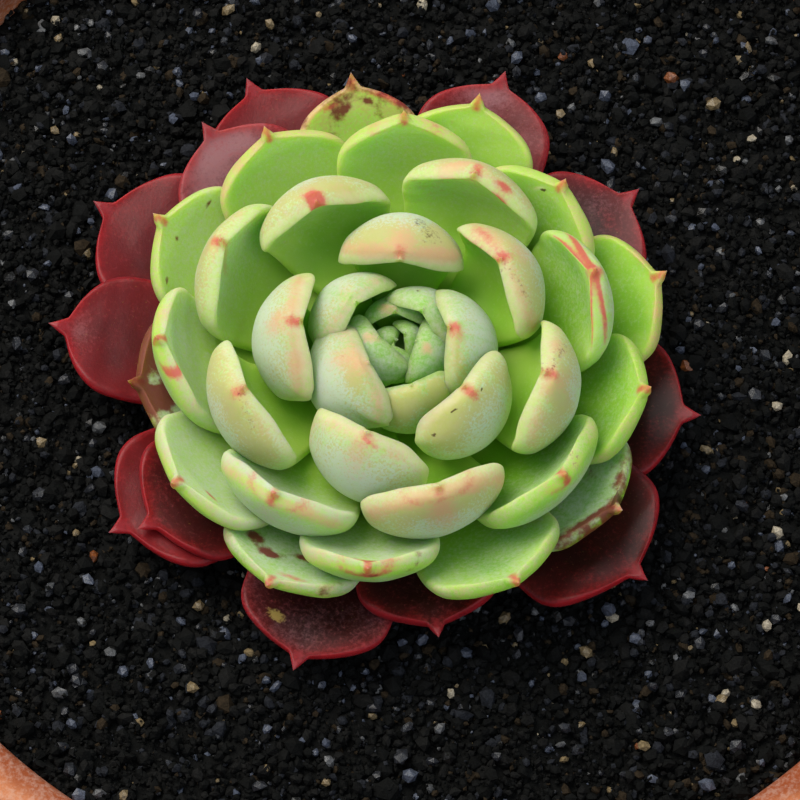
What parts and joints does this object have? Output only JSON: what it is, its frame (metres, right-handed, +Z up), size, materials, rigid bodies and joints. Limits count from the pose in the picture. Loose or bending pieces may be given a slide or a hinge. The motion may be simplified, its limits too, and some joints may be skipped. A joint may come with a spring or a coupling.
{
  "type": "potted rosette succulent",
  "caption": "Spiral rosette of fleshy, cupped, pointed leaves, pale at the heart, green around it and wine red at the foot, in black grit in a round clay pot.",
  "frame": {"origin": "the middle of the pot's base, on the surface that the pot stands on", "axes": "+Z up along the pot's axis; +X to the right and +Y away as the picture shows the rosette from above its front; the rosette's own axis stands 1 mm to -X and 3 mm to -Y of the pot's"},
  "size_m": [0.152, 0.152, 0.1368],
  "materials": {
    "clay": "matte",
    "grit": "matte",
    "stem": "matte",
    "leaf_pale": "matte",
    "leaf_green": "satin",
    "leaf_red": "satin"
  },
  "bodies": {
    "root": {"pot": "clay", "soil": "grit", "crown": "stem", "heart": "leaf_pale", "leaf_06": "leaf_pale", "leaf_07": "leaf_pale", "leaf_08": "leaf_pale", "leaf_09": "leaf_pale", "leaf_10": "leaf_pale", "leaf_11": "leaf_pale", "leaf_12": "leaf_pale", "leaf_13": "leaf_pale", "leaf_14": "leaf_pale", "leaf_15": "leaf_pale", "leaf_16": "leaf_pale", "leaf_17": "leaf_pale", "leaf_18": "leaf_pale", "leaf_19": "leaf_pale", "leaf_20": "leaf_pale", "leaf_21": "leaf_pale", "leaf_22": "leaf_pale", "leaf_23": "leaf_pale", "leaf_24": "leaf_green", "leaf_25": "leaf_green", "leaf_26": "leaf_green", "leaf_27": "leaf_green", "leaf_28": "leaf_green", "leaf_29": "leaf_green", "leaf_30": "leaf_green", "leaf_31": "leaf_green", "leaf_32": "leaf_green", "leaf_33": "leaf_green", "leaf_34": "leaf_green", "leaf_35": "leaf_green", "leaf_36": "leaf_green", "leaf_37": "leaf_green", "leaf_38": "leaf_green", "leaf_39": "leaf_green", "leaf_40": "leaf_red", "leaf_41": "leaf_red", "leaf_42": "leaf_red", "leaf_44": "leaf_red", "leaf_46": "leaf_red", "leaf_47": "leaf_red", "leaf_48": "leaf_red", "leaf_49": "leaf_red", "leaf_50": "leaf_red", "leaf_51": "leaf_red", "leaf_52": "leaf_red", "leaf_55": "leaf_red"}
  },
  "joints": []
}
